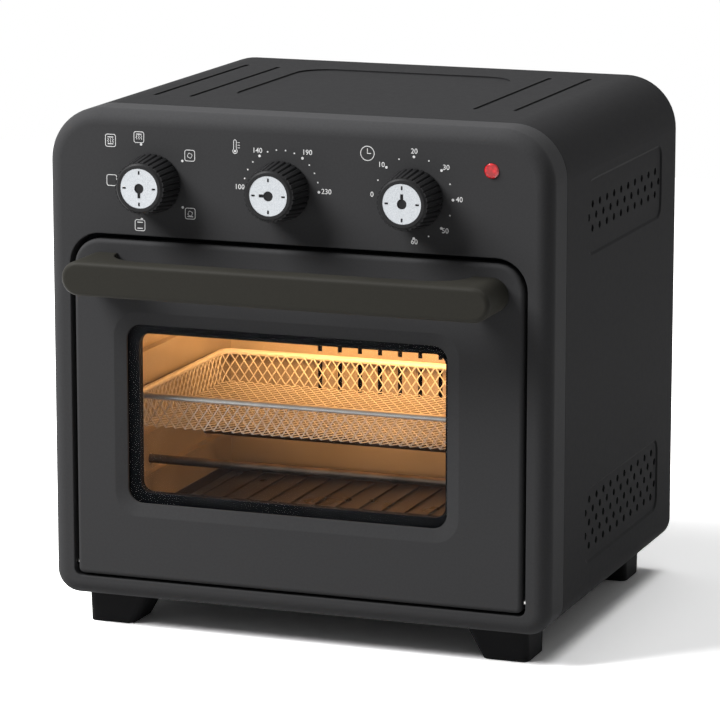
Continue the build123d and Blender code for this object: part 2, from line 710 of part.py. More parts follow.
with BuildPart() as indicator_holder:
    with BuildSketch(face_plane(BEZEL_WALL + 1.5)):
        with Locations((LAMP_X, LAMP_Z)):
            Circle(LAMP_RADIUS + 1.2)
    extrude(amount=-12.0)
indicator_holder.part.label = "indicator_holder"
export_step(indicator_holder.part, "parts/indicator_holder.step")

# Dials: fluted knob, silver disc with its keyhole pointer, and shaft
POINTER_HOLE = 3.45
POINTER_WIDTH = 2.2
POINTER_REACH = 6.8
TICK_RADIUS = 11.0
DISC_SINK = 0.8
SHAFT_IN_KNOB = 18.0


def dial_plane(x, depth):
    """Plane on a dial's axis so far behind the door's face, looking to the front."""
    return Plane(origin=(x, FACE_Y + depth, DIAL_Z), x_dir=(1, 0, 0), z_dir=(0, -1, 0))


def ribbed_outline(radius, groove):
    """Closed outline with flat-topped ribs round a circle, one V groove between each pair."""
    step = 2 * pi / KNOB_RIBS
    points = []
    for rib in range(KNOB_RIBS):
        for turn, reach in ((-0.26, radius), (0.26, radius), (0.5, radius - groove)):
            angle = (rib + turn) * step
            points.append((reach * cos(angle), reach * sin(angle)))
    return points


for dial, (dial_x, pointer) in DIALS.items():
    with BuildPart() as knob:
        with BuildSketch(dial_plane(dial_x, -KNOB_GAP)):
            with BuildLine():
                Polyline(*ribbed_outline(KNOB_BASE_RADIUS, 1.2), close=True)
            make_face()
        with BuildSketch(dial_plane(dial_x, -KNOB_HEIGHT + 1.2)):
            with BuildLine():
                Polyline(*ribbed_outline(KNOB_FRONT_RADIUS, 1.0), close=True)
            make_face()
        loft(ruled=True)
        with BuildSketch(dial_plane(dial_x, -KNOB_HEIGHT + 1.2)):
            Circle(KNOB_FRONT_RADIUS - 1.0)
        with BuildSketch(dial_plane(dial_x, -KNOB_HEIGHT)):
            Circle(KNOB_FRONT_RADIUS - 2.2)
        loft(ruled=True)
        with BuildSketch(dial_plane(dial_x, -KNOB_HEIGHT)):
            Circle(DISC_RADIUS)
        extrude(amount=-DISC_SINK - 0.4, mode=Mode.SUBTRACT)
        with BuildSketch(dial_plane(dial_x, -KNOB_GAP)):
            Circle(16.5)
            Circle(6.5, mode=Mode.SUBTRACT)
        extrude(amount=13.0, mode=Mode.SUBTRACT)
        with BuildSketch(dial_plane(dial_x, -KNOB_GAP)):
            Circle(SHAFT_RADIUS)
        extrude(amount=SHAFT_IN_KNOB - KNOB_GAP, mode=Mode.SUBTRACT)
    knob.part.label = f"{dial}_knob"
    export_step(knob.part, f"parts/{dial}_knob.step")

    with BuildPart() as disc:
        with BuildSketch(dial_plane(dial_x, -KNOB_HEIGHT + DISC_SINK + 0.4)):
            Circle(DISC_RADIUS)
            Circle(POINTER_HOLE, mode=Mode.SUBTRACT)
            with PolarLocations(POINTER_REACH / 2, 1, start_angle=pointer):
                Rectangle(POINTER_REACH, POINTER_WIDTH, mode=Mode.SUBTRACT)
            with PolarLocations(TICK_RADIUS, 4, start_angle=pointer):
                Rectangle(2.6, 1.3, mode=Mode.SUBTRACT)
        extrude(amount=DISC_SINK)
    disc.part.label = f"{dial}_knob_disc"
    export_step(disc.part, f"parts/{dial}_knob_disc.step")

    with BuildPart() as shaft:
        with BuildSketch(dial_plane(dial_x, -SHAFT_IN_KNOB)):
            Circle(SHAFT_RADIUS)
        extrude(amount=-(SHAFT_END + SHAFT_IN_KNOB))
    shaft.part.label = f"{dial}_shaft"
    export_step(shaft.part, f"parts/{dial}_shaft.step")

# Door panel: moulded shell with a bevelled window and bosses for the hinge pins
PIN_IN_DOOR = 8.0
with BuildPart() as door_panel:
    with BuildSketch(face_plane(0)):
        add(door_face(0))
    extrude(amount=-DOOR_THICK)
    fillet(door_panel.faces().sort_by(Axis.Y)[0].edges(), DOOR_ROUND)
    fillet(door_panel.edges().filter_by(Axis.X).group_by(Axis.Z)[0].sort_by(Axis.Y)[-1], DOOR_ROUND)
    with BuildSketch(face_plane(DOOR_SKIN)):
        add(door_face(DOOR_WALL))
    extrude(amount=-DOOR_THICK, mode=Mode.SUBTRACT)
    with BuildSketch(face_plane(0)):
        add(window_face(RECESS, 18))
    with BuildSketch(face_plane(BEVEL_DEPTH)):
        add(window_face(GLASS_OPENING, 11))
    loft(mode=Mode.SUBTRACT)
    with BuildSketch(face_plane(0)):
        add(window_face(GLASS_OPENING, 11))
    extrude(amount=-DOOR_SKIN, mode=Mode.SUBTRACT)
    with BuildSketch(face_plane(BEVEL_DEPTH)):
        add(window_face((RECESS[0] - 3, RECESS[1] + 3, RECESS[2] - 3, RECESS[3] + 3), 18))
        add(window_face((GLASS_PANE[0] - 0.3, GLASS_PANE[1] + 0.3, GLASS_PANE[2] - 0.3,
                         GLASS_PANE[3] + 0.3), 8), mode=Mode.SUBTRACT)
    extrude(amount=-(DOOR_SKIN - BEVEL_DEPTH + GLASS_THICK))
    for side in (-1, 1):
        with BuildSketch(side_plane(side * DOOR_HALF)):
            with Locations((HINGE_DEPTH, HINGE_Z)):
                Circle(4.6)
        extrude(amount=-side * (PIN_IN_DOOR + 2))
        with BuildSketch(side_plane(side * DOOR_HALF)):
            with Locations((HINGE_DEPTH, HINGE_Z)):
                Circle(PIN_RADIUS)
        extrude(amount=-side * PIN_IN_DOOR, mode=Mode.SUBTRACT)
    with BuildSketch(face_plane(0)):
        with Locations(*HANDLE_SCREWS):
            Circle(2.2)
    extrude(amount=-DOOR_SKIN, mode=Mode.SUBTRACT)
door_panel.part.label = "door_panel"
export_step(door_panel.part, "parts/door_panel.step")

with BuildPart() as door_glass:
    with BuildSketch(face_plane(DOOR_SKIN)):
        add(window_face(GLASS_PANE, 8))
    extrude(amount=-GLASS_THICK)
door_glass.part.label = "door_glass"
export_step(door_glass.part, "parts/door_glass.step")

# Inner frame: dark sheet that closes the door's back and presses on the glass
with BuildPart() as door_inner_frame:
    with BuildSketch(face_plane(DOOR_THICK)):
        add(door_face(DOOR_WALL + FIT_GAP))
        add(window_face(INNER_OPENING, 8), mode=Mode.SUBTRACT)
    extrude(amount=FRAME_SHEET)
    with BuildSketch(face_plane(DOOR_THICK)):
        add(window_face((INNER_OPENING[0] - FRAME_SHEET, INNER_OPENING[1] + FRAME_SHEET,
                         INNER_OPENING[2] - FRAME_SHEET, INNER_OPENING[3] + FRAME_SHEET), 9))
        add(window_face(INNER_OPENING, 8), mode=Mode.SUBTRACT)
    extrude(amount=DOOR_THICK - DOOR_SKIN - GLASS_THICK)
    with BuildSketch(face_plane(DOOR_THICK)):
        for side in (-1, 1):
            with Locations((side * (DOOR_HALF - 6), HINGE_Z)):
                Rectangle(14, 11, mode=Mode.ADD)
    extrude(amount=FRAME_SHEET + 1, mode=Mode.SUBTRACT)
door_inner_frame.part.label = "door_inner_frame"
export_step(door_inner_frame.part, "parts/door_inner_frame.step")

# Handle: one moulding, a bar with rounded ends on two flared posts
with BuildPart() as door_handle:
    with BuildSketch(face_plane(-HANDLE_REACH)):
        with Locations(((HANDLE_LEFT + HANDLE_RIGHT) / 2, HANDLE_LOW + HANDLE_HEIGHT / 2)):
            SlotOverall(HANDLE_RIGHT - HANDLE_LEFT, HANDLE_HEIGHT)
    extrude(amount=-HANDLE_REACH)
    fillet(door_handle.faces().sort_by(Axis.Y)[0].edges(), 3.5)
    gap_left = HANDLE_LEFT + POST_WIDTH + HANDLE_FLARE
    gap_right = HANDLE_RIGHT - POST_WIDTH - HANDLE_FLARE
    bar_back = HANDLE_REACH - HANDLE_BAR
    with BuildSketch(floor_plane(HANDLE_LOW)):
        with BuildLine():
            Line((gap_left - HANDLE_FLARE, 0), (gap_right + HANDLE_FLARE, 0))
            CenterArc((gap_right, 0), HANDLE_FLARE, 0, -90)
            Line((gap_right, -bar_back), (gap_left, -bar_back))
            CenterArc((gap_left, 0), HANDLE_FLARE, -90, -90)
        make_face()
    extrude(amount=HANDLE_HEIGHT, mode=Mode.SUBTRACT)
    with BuildSketch(face_plane(0)):
        with Locations(*HANDLE_SCREWS):
            Circle(1.8)
    extrude(amount=16.0, mode=Mode.SUBTRACT)
door_handle.part.label = "door_handle"
export_step(door_handle.part, "parts/door_handle.step")

with BuildPart() as handle_screws:
    for depth, radius, length in ((DOOR_SKIN, 3.6, -2.2), (DOOR_SKIN, 1.8, DOOR_SKIN + 14.0)):
        with BuildSketch(face_plane(depth)):
            with Locations(*HANDLE_SCREWS):
                Circle(radius)
        extrude(amount=length)
handle_screws.part.label = "handle_screws"
export_step(handle_screws.part, "parts/handle_screws.step")

PIN_END = 177.0
for node, side in (("hinge_pin_left", -1), ("hinge_pin_right", 1)):
    with BuildPart() as hinge_pin:
        with BuildSketch(side_plane(side * (DOOR_HALF - PIN_IN_DOOR))):
            with Locations((HINGE_DEPTH, HINGE_Z)):
                Circle(PIN_RADIUS)
        extrude(amount=side * (PIN_END - DOOR_HALF + PIN_IN_DOOR))
    hinge_pin.part.label = node
    export_step(hinge_pin.part, f"parts/{node}.step")

# Door arms: from the inner frame backwards and down, round the hinge axis
ARM_SWEEP = 92.0
ARM_START = 82.0
for node, side in (("door_arm_left", -1), ("door_arm_right", 1)):
    pivot = (HINGE_DEPTH, HINGE_Z)
    with BuildPart() as door_arm:
        with BuildSketch(side_plane(side * ARM_X - ARM_SHEET / 2)):
            with BuildLine():
                outer_arc = CenterArc(pivot, ARM_RADIUS + ARM_WIDTH / 2, ARM_START, -ARM_SWEEP)
                inner_arc = CenterArc(pivot, ARM_RADIUS - ARM_WIDTH / 2, ARM_START, -ARM_SWEEP)
                Line(outer_arc @ 1, inner_arc @ 1)
                Polyline(outer_arc @ 0, (DOOR_THICK, (outer_arc @ 0).Y + 5),
                         (DOOR_THICK, (inner_arc @ 0).Y - 5), inner_arc @ 0)
            make_face()
        extrude(amount=ARM_SHEET)
    door_arm.part.label = node
    export_step(door_arm.part, f"parts/{node}.step")

# Basket: a round wire rim and diamond nets for its bottom and four sides
BASKET_WIDTH = RIM_RIGHT - RIM_LEFT
BASKET_LENGTH = RIM_BACK - RIM_FRONT
BASKET_MIDDLE = ((RIM_LEFT + RIM_RIGHT) / 2, (RIM_FRONT + RIM_BACK) / 2)
with BuildPart() as basket_rim:
    with BuildSketch(floor_plane(RIM_Z), mode=Mode.PRIVATE) as rim_shape:
        with Locations(BASKET_MIDDLE):
            RectangleRounded(BASKET_WIDTH, BASKET_LENGTH, 9)
    rim_path = rim_shape.sketch.face().outer_wire()
    with BuildSketch(Plane(origin=rim_path @ 0, z_dir=rim_path % 0)):
        Circle(RIM_RADIUS)
    sweep(path=rim_path)
basket_rim.part.label = "basket_rim"
export_step(basket_rim.part, "parts/basket_rim.step")


def diamonds(length, width, columns, rows, size):
    """Cuts staggered diamond holes in the sketch that is being drawn, over a length by a width."""
    across = length / columns
    up = width / rows
    with GridLocations(across, up, columns, rows):
        Rectangle(size, size, rotation=45, mode=Mode.SUBTRACT)
    if rows > 1:
        with GridLocations(across, up, columns - 1, rows - 1):
            Rectangle(size, size, rotation=45, mode=Mode.SUBTRACT)


NET_TOP = RIM_Z - 1.2
NET_OUTSET = NET_SHEET - 2 * NET_INSET
NET_HEIGHT = NET_TOP - BASKET_LOW - NET_SHEET
with BuildPart() as bottom_net:
    with BuildSketch(floor_plane(BASKET_LOW)):
        with Locations(BASKET_MIDDLE):
            RectangleRounded(BASKET_WIDTH + NET_OUTSET, BASKET_LENGTH + NET_OUTSET, 8)
            diamonds(BASKET_WIDTH - 8, BASKET_LENGTH - 8, 12, 8, 13.0)
    extrude(amount=NET_SHEET)

with BuildPart() as wall_nets:
    for depth in (RIM_FRONT + NET_INSET, RIM_BACK - NET_INSET):
        with BuildSketch(face_plane(depth + NET_SHEET / 2)):
            with Locations((BASKET_MIDDLE[0], BASKET_LOW + NET_SHEET + NET_HEIGHT / 2)):
                Rectangle(BASKET_WIDTH - 18, NET_HEIGHT)
                diamonds(BASKET_WIDTH - 20, NET_HEIGHT, 14, 1, 12.0)
        extrude(amount=NET_SHEET)
    for x in (RIM_LEFT + NET_INSET, RIM_RIGHT - NET_INSET):
        with BuildSketch(side_plane(x - NET_SHEET / 2)):
            with Locations((BASKET_MIDDLE[1], BASKET_LOW + NET_SHEET + NET_HEIGHT / 2)):
                Rectangle(BASKET_LENGTH - 18, NET_HEIGHT)
                diamonds(BASKET_LENGTH - 20, NET_HEIGHT, 9, 1, 12.0)
        extrude(amount=NET_SHEET)

basket_mesh = Compound(label="basket_mesh", children=[*bottom_net.part.solids(), *wall_nets.part.solids()])
export_step(basket_mesh, "parts/basket_mesh.step")

# Crumb tray: shallow pan with ribs from front to back, lying on the cavity floor
TRAY_FRONT = 21.0
TRAY_BACK = 236.0
TRAY_LOW = CAVITY_LOW + 0.3
TRAY_HEIGHT = 8.0
TRAY_SHEET = 0.9
TRAY_RIBS = 15
TRAY_WIDTH = CAVITY_RIGHT - CAVITY_LEFT - 6
with BuildPart() as crumb_tray:
    with BuildSketch(floor_plane(TRAY_LOW)):
        with Locations((FAN_X, (TRAY_FRONT + TRAY_BACK) / 2)):
            RectangleRounded(TRAY_WIDTH, TRAY_BACK - TRAY_FRONT, 5)
    extrude(amount=TRAY_HEIGHT)
    with BuildSketch(floor_plane(TRAY_LOW + TRAY_SHEET)):
        with Locations((FAN_X, (TRAY_FRONT + TRAY_BACK) / 2)):
            RectangleRounded(TRAY_WIDTH - 2 * TRAY_SHEET, TRAY_BACK - TRAY_FRONT - 2 * TRAY_SHEET, 4)
    extrude(amount=TRAY_HEIGHT, mode=Mode.SUBTRACT)
    with BuildSketch(floor_plane(TRAY_LOW + TRAY_SHEET)):
        with Locations((FAN_X, (TRAY_FRONT + TRAY_BACK) / 2)):
            with GridLocations(TRAY_WIDTH / TRAY_RIBS, 0, TRAY_RIBS, 1):
                Rectangle(5, TRAY_BACK - TRAY_FRONT - 16)
    extrude(amount=1.6)
crumb_tray.part.label = "crumb_tray"
export_step(crumb_tray.part, "parts/crumb_tray.step")
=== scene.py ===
"""Looks of the air fryer oven, built around its packed construction. Lengths are in metres."""
import json
import math

import bmesh
import bpy
from mathutils import Matrix, Vector


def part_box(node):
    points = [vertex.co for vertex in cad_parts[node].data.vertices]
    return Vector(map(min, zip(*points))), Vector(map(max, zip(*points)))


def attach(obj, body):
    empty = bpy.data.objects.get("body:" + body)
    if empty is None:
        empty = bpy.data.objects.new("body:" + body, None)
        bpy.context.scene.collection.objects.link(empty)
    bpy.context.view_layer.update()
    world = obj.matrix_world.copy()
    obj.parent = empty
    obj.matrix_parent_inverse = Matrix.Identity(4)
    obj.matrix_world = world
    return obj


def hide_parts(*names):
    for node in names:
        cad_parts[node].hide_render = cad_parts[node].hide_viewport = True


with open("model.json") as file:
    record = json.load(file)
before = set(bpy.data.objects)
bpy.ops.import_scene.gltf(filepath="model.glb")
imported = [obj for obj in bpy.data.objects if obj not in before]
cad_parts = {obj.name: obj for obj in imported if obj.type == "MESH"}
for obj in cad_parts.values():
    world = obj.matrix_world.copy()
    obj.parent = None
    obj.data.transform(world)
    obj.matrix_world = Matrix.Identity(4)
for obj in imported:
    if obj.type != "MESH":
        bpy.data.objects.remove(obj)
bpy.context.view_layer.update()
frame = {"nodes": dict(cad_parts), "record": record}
nodes = frame["nodes"]
slot_of = {entry["node"]: entry["material_slot"] for entry in frame["record"]["subparts"]}

MM = 0.001
EDGE_SAMPLES = 4
FACE_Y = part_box("door_panel")[0].y
PRINT_OUT = 0.12 * MM
PRINT_IN = 0.06 * MM


def srgb(red, green, blue):
    """Linear colour of an 8-bit screen colour."""
    def linear(value):
        value /= 255
        return value / 12.92 if value <= 0.04045 else ((value + 0.055) / 1.055) ** 2.4
    return (linear(red), linear(green), linear(blue), 1.0)


# Materials


class Shader:
    """A material's node tree with its Principled shader, and short calls to add to it."""

    def __init__(self, name, colour, roughness, metallic=0.0):
        self.material = bpy.data.materials.new(name)
        self.material.use_nodes = True
        self.tree = self.material.node_tree
        self.main = self.tree.nodes["Principled BSDF"]
        self.main.inputs["Base Color"].default_value = colour
        self.main.inputs["Roughness"].default_value = roughness
        self.main.inputs["Metallic"].default_value = metallic
        self.place = self.tree.nodes.new("ShaderNodeTexCoord")
        self.normal = None

    def join(self, source, target):
        self.tree.links.new(source, target)

    def noise(self, scale, detail=4.0, stretch=None):
        """Noise in the object's own space, drawn out along an axis where stretch says so."""
        texture = self.tree.nodes.new("ShaderNodeTexNoise")
        texture.inputs["Scale"].default_value = scale
        texture.inputs["Detail"].default_value = detail
        source = self.place.outputs["Object"]
        if stretch:
            mapping = self.tree.nodes.new("ShaderNodeMapping")
            mapping.inputs["Scale"].default_value = stretch
            self.join(source, mapping.inputs["Vector"])
            source = mapping.outputs["Vector"]
        self.join(source, texture.inputs["Vector"])
        return texture.outputs["Fac"]

    def ramp(self, source, low, high, start=0.35, end=0.65):
        """Colour or grey ramp between two colours."""
        ramp = self.tree.nodes.new("ShaderNodeValToRGB")
        ramp.color_ramp.elements[0].position = start
        ramp.color_ramp.elements[1].position = end
        ramp.color_ramp.elements[0].color = low
        ramp.color_ramp.elements[1].color = high
        self.join(source, ramp.inputs["Fac"])
        return ramp.outputs["Color"]

    def tint(self, source, low, high, start=0.35, end=0.65):
        self.join(self.ramp(source, low, high, start, end), self.main.inputs["Base Color"])

    def gloss(self, source, low, high, start=0.3, end=0.7):
        """Roughness that varies between two values."""
        spread = self.tree.nodes.new("ShaderNodeMapRange")
        spread.inputs["From Min"].default_value = start
        spread.inputs["From Max"].default_value = end
        spread.inputs["To Min"].default_value = low
        spread.inputs["To Max"].default_value = high
        self.join(source, spread.inputs["Value"])
        self.join(spread.outputs["Result"], self.main.inputs["Roughness"])

    def bump(self, source, strength, distance):
        bump = self.tree.nodes.new("ShaderNodeBump")
        bump.inputs["Strength"].default_value = strength
        bump.inputs["Distance"].default_value = distance
        self.join(source, bump.inputs["Height"])
        if self.normal:
            self.join(self.normal, bump.inputs["Normal"])
        self.normal = bump.outputs["Normal"]
        self.join(self.normal, self.main.inputs["Normal"])

    def soft_edges(self, radius):
        """Edges that catch the light as if rounded by this radius."""
        bevel = self.tree.nodes.new("ShaderNodeBevel")
        bevel.samples = EDGE_SAMPLES
        bevel.inputs["Radius"].default_value = radius
        self.normal = bevel.outputs["Normal"]
        self.join(self.normal, self.main.inputs["Normal"])


def shade(colour, factor):
    """The same colour, lighter or darker."""
    return tuple(channel * factor for channel in colour[:3]) + (1.0,)


FINE_RELIEF = 0.12 * MM
SHEET_EDGE = 0.4 * MM
DULL_SHEEN = 0.03


def moulded(name, colour, roughness, edge, sheen):
    """Matte moulded plastic with a fine spark-eroded grain and faint handling marks."""
    look = Shader(name, colour, roughness)
    look.soft_edges(edge)
    look.tint(look.noise(600.0), shade(colour, 0.96), shade(colour, 1.04))
    look.gloss(look.noise(300.0), roughness - 0.02, roughness + 0.02)
    look.bump(look.noise(2600.0, detail=2.0), 0.16, FINE_RELIEF)
    look.main.inputs["Specular IOR Level"].default_value = sheen
    return look.material


def painted(name, colour, roughness):
    """Powder-coated sheet: a fine orange-peel surface over slightly uneven colour."""
    look = Shader(name, colour, roughness)
    look.soft_edges(SHEET_EDGE)
    look.tint(look.noise(500.0), shade(colour, 0.96), shade(colour, 1.04))
    look.gloss(look.noise(200.0), roughness - 0.02, roughness + 0.02)
    look.bump(look.noise(1500.0, detail=3.0), 0.13, FINE_RELIEF)
    look.main.inputs["Specular IOR Level"].default_value = DULL_SHEEN
    return look.material


def enamel():
    """Smooth black enamel of the frame behind the door's glass, also laid on the cavity's front frame as
    painted shade in the gap round the door.
    """
    colour = srgb(19, 21, 25)
    look = Shader("black_frame", colour, 0.5)
    look.tint(look.noise(20.0, detail=2.0), shade(colour, 0.95), shade(colour, 1.05))
    look.main.inputs["Specular IOR Level"].default_value = DULL_SHEEN
    return look.material


def steel(name, colour, roughness, stretch=(1.0, 40.0, 40.0), grain=0.2):
    """Metal with a drawn grain."""
    look = Shader(name, colour, roughness, metallic=1.0)
    streaks = look.noise(60.0, 5.0, stretch)
    look.tint(streaks, shade(colour, 0.82), shade(colour, 1.08))
    look.gloss(streaks, roughness - 0.07, roughness + 0.1)
    look.bump(streaks, grain, 0.06 * MM)
    return look.material


def cavity_steel():
    """Aluminised steel of the cavity, cloudy in broad patches."""
    colour = srgb(176, 166, 150)
    look = Shader("cavity_steel", colour, 0.36, metallic=0.55)
    look.tint(look.noise(14.0, 3.0), shade(colour, 0.84), shade(colour, 1.08))
    look.gloss(look.noise(20.0, 3.0), 0.3, 0.42)
    return look.material


def element_steel():
    """Sheathed element, grey-brown and finely rough."""
    colour = srgb(120, 108, 96)
    look = Shader("element_steel", colour, 0.42, metallic=0.9)
    look.tint(look.noise(60.0), shade(colour, 0.7), shade(colour, 1.15))
    look.bump(look.noise(800.0), 0.2, 0.1 * MM)
    return look.material


def pane(name, colour, roughness):
    """Clear glass."""
    look = Shader(name, colour, roughness)
    look.main.inputs["Transmission Weight"].default_value = 1.0
    look.main.inputs["IOR"].default_value = 1.45
    look.gloss(look.noise(12.0), roughness, roughness + 0.01)
    return look.material


def flat_pane(name, colour, opacity):
    """Flat tinted glass that the light of both sides passes."""
    look = Shader(name, colour, 0.03)
    look.main.inputs["Alpha"].default_value = opacity
    look.main.inputs["Specular IOR Level"].default_value = 0.1
    look.gloss(look.noise(12.0), 0.02, 0.04)
    return look.material


def wire_steel():
    """Plated wire of the basket."""
    colour = srgb(212, 210, 206)
    look = Shader("wire_steel", colour, 0.36, metallic=0.35)
    look.tint(look.noise(160.0), shade(colour, 0.9), colour)
    look.gloss(look.noise(200.0), 0.3, 0.42)
    return look.material


def tray_steel():
    """Dark baked coating of the crumb tray; its darkness is partly painted shade from the basket above it.
    """
    colour = srgb(46, 38, 30)
    look = Shader("crumb_tray", colour, 0.3, metallic=0.35)
    look.tint(look.noise(16.0, 3.0), shade(colour, 0.85), shade(colour, 1.12))
    look.gloss(look.noise(18.0, 2.0), 0.26, 0.34)
    return look.material


def red_lens():
    """Faceted red indicator lens, dimly lit from behind."""
    look = Shader("red_lens", srgb(150, 6, 12), 0.15)
    facets = look.tree.nodes.new("ShaderNodeTexVoronoi")
    facets.inputs["Scale"].default_value = 330.0
    look.join(look.place.outputs["Object"], facets.inputs["Vector"])
    colour = look.ramp(facets.outputs["Distance"], srgb(206, 14, 26), srgb(140, 3, 10), 0.0, 0.7)
    look.join(colour, look.main.inputs["Base Color"])
    look.join(colour, look.main.inputs["Emission Color"])
    look.main.inputs["Coat Weight"].default_value = 0.3
    look.main.inputs["Emission Strength"].default_value = 0.4
    return look.material


def rubber():
    """Dull black rubber of the feet."""
    colour = srgb(20, 20, 21)
    look = Shader("foot_rubber", colour, 0.7)
    look.soft_edges(0.8 * MM)
    look.tint(look.noise(40.0), shade(colour, 0.85), shade(colour, 1.2))
    look.bump(look.noise(1400.0), 0.15, 0.2 * MM)
    look.main.inputs["Specular IOR Level"].default_value = 0.06
    return look.material


def ceramic():
    """Glazed white ceramic."""
    colour = srgb(226, 220, 208)
    look = Shader("white_ceramic", colour, 0.3)
    look.tint(look.noise(90.0), shade(colour, 0.9), colour)
    look.main.inputs["Coat Weight"].default_value = 0.4
    return look.material


def plain_plastic(name, colour, roughness):
    """Plain moulded plastic of the parts inside."""
    look = Shader(name, colour, roughness)
    look.tint(look.noise(60.0), shade(colour, 0.9), shade(colour, 1.08))
    look.bump(look.noise(900.0), 0.1, 0.1 * MM)
    return look.material


LOOKS = {
    "charcoal_moulding": moulded("charcoal_moulding", srgb(60, 60, 61), roughness=0.66, edge=1.2 * MM,
                                 sheen=DULL_SHEEN),
    "painted_sheet": painted("painted_sheet", srgb(36, 36, 37), roughness=0.7),
    "black_rubber_plastic": rubber(),
    "handle_plastic": moulded("handle_plastic", srgb(44, 43, 39), roughness=0.5, edge=1.2 * MM, sheen=0.06),
    "knob_plastic": moulded("knob_plastic", srgb(31, 31, 32), roughness=0.42, edge=0.4 * MM, sheen=0.12),
    "silver_disc": steel("silver_disc", srgb(157, 160, 163), roughness=0.34, stretch=(30.0, 30.0, 30.0),
                         grain=0.05),
    "bright_steel": steel("bright_steel", srgb(206, 205, 203), roughness=0.16, stretch=(20.0, 20.0, 20.0),
                          grain=0.05),
    "cavity_steel": cavity_steel(),
    "galvanised_sheet": steel("galvanised_sheet", srgb(150, 148, 144), roughness=0.32),
    "element_steel": element_steel(),
    "white_ceramic": ceramic(),
    "lamp_glass": pane("lamp_glass", srgb(255, 240, 214), roughness=0.04),
    "door_glass": flat_pane("door_glass", srgb(24, 26, 30), opacity=0.14),
    "black_frame": enamel(),
    "motor_iron": steel("motor_iron", srgb(88, 88, 92), roughness=0.5, stretch=(4.0, 4.0, 200.0)),
    "bronze": steel("bronze", srgb(170, 132, 84), roughness=0.4, stretch=(8.0, 8.0, 8.0)),
    "mechanism_plastic": plain_plastic("mechanism_plastic", srgb(216, 212, 200), roughness=0.5),
    "red_lens": red_lens(),
}
NODE_LOOKS = {
    "basket_rim": wire_steel(),
    # The crumb tray's dark colour is partly painted shade under the basket
    "crumb_tray": tray_steel(),
    # The cavity's front frame takes the black enamel so the gap round the door reads dark: painted shade
    "cavity_front_frame": LOOKS["black_frame"],
}
for node_name, node in nodes.items():
    node.data.materials.clear()
    node.data.materials.append(NODE_LOOKS.get(node_name, LOOKS[slot_of[node_name]]))


def print_look():
    """White screen print of the panel's numbers and icons."""
    look = Shader("panel_print", srgb(222, 222, 222), 0.6)
    look.tint(look.noise(700.0), srgb(206, 206, 206), srgb(232, 232, 232))
    return look.material


PANEL_PRINT = print_look()


# Pieces


def piece(name, mesh_maker, material, body):
    """New mesh piece that a function fills through bmesh, riding on a body."""
    mesh = bpy.data.meshes.new(name)
    shape = bmesh.new()
    mesh_maker(shape)
    bmesh.ops.recalc_face_normals(shape, faces=shape.faces)
    shape.to_mesh(mesh)
    shape.free()
    made = bpy.data.objects.new(name, mesh)
    bpy.context.scene.collection.objects.link(made)
    made.data.materials.append(material)
    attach(made, body)
    return made


def front_prism(shape, points, front=FACE_Y - PRINT_OUT, back=FACE_Y + PRINT_IN):
    """Prism over a closed outline of (x, z) points, by default thin print on the front face."""
    near = [shape.verts.new((x, front, z)) for x, z in points]
    far = [shape.verts.new((x, back, z)) for x, z in points]
    shape.faces.new(near)
    shape.faces.new(far[::-1])
    for i in range(len(points)):
        j = (i + 1) % len(points)
        shape.faces.new((near[i], far[i], far[j], near[j]))


def arc(x, z, radius, start, sweep, count):
    """Points on an arc, with angles in degrees anticlockwise from the right."""
    turns = [math.radians(start + sweep * i / count) for i in range(count + 1)]
    return [(x + radius * math.cos(t), z + radius * math.sin(t)) for t in turns]


DOT_SIDES = 20
CORNER_STEPS = 4
MITRE_LIMIT = 0.4


def ring(x, z, radius, count):
    """Closed circle of points."""
    return arc(x, z, radius, 0, 360, count)[:-1]


def dot(shape, x, z, radius):
    """Printed round dot."""
    front_prism(shape, ring(x, z, radius, DOT_SIDES))


def stroke(shape, points, width, closed=False):
    """Flat line of this width through the points, mitred at each of them."""
    count = len(points)
    sides = ([], [])
    for i, point in enumerate(points):
        here = Vector(point)
        before = Vector(points[i - 1]) if i or closed else here
        after = Vector(points[(i + 1) % count]) if i < count - 1 or closed else here
        first = (here - before).normalized() if here != before else (after - here).normalized()
        second = (after - here).normalized() if here != after else first
        mean = (first + second).normalized()
        across = Vector((-mean.y, mean.x)) * width / 2 / max(MITRE_LIMIT, mean.dot(first))
        sides[0].append(here + across)
        sides[1].append(here - across)
    last = count if closed else count - 1
    for i in range(last):
        j = (i + 1) % count
        corners = (sides[0][i], sides[0][j], sides[1][j], sides[1][i])
        front_prism(shape, [tuple(corner) for corner in corners])


def round_box(x, z, width, height, radius):
    """Closed outline of a rounded rectangle."""
    points = []
    for sign_x, sign_z, start in ((1, 1, 0), (-1, 1, 90), (-1, -1, 180), (1, -1, 270)):
        corner_x = x + sign_x * (width / 2 - radius)
        corner_z = z + sign_z * (height / 2 - radius)
        points += arc(corner_x, corner_z, radius, start, 90, CORNER_STEPS)
    return points


LINE = 0.45 * MM
THIN_LINE = LINE * 0.8
BAR_LINE = LINE * 1.3
ICON_SIZE = (7.4 * MM, 7.6 * MM)
LARGE_ICON_SIZE = (7.6 * MM, 8.6 * MM)
ICON_CORNER = 1.4 * MM
BAR_SHARE = 0.28
BLADE_COUNT = 4
BLADE_LEAN = 20
BLADE_RADIUS = 0.9 * MM
BLADE_SWEEP = 160
BLADE_STEPS = 6
WAVE_PITCH = 1.8 * MM
WAVE_SWING = 0.35 * MM
WAVE_STEP = 0.45 * MM
WAVE_POINTS = 8
WAVE_LOW = 1.6 * MM


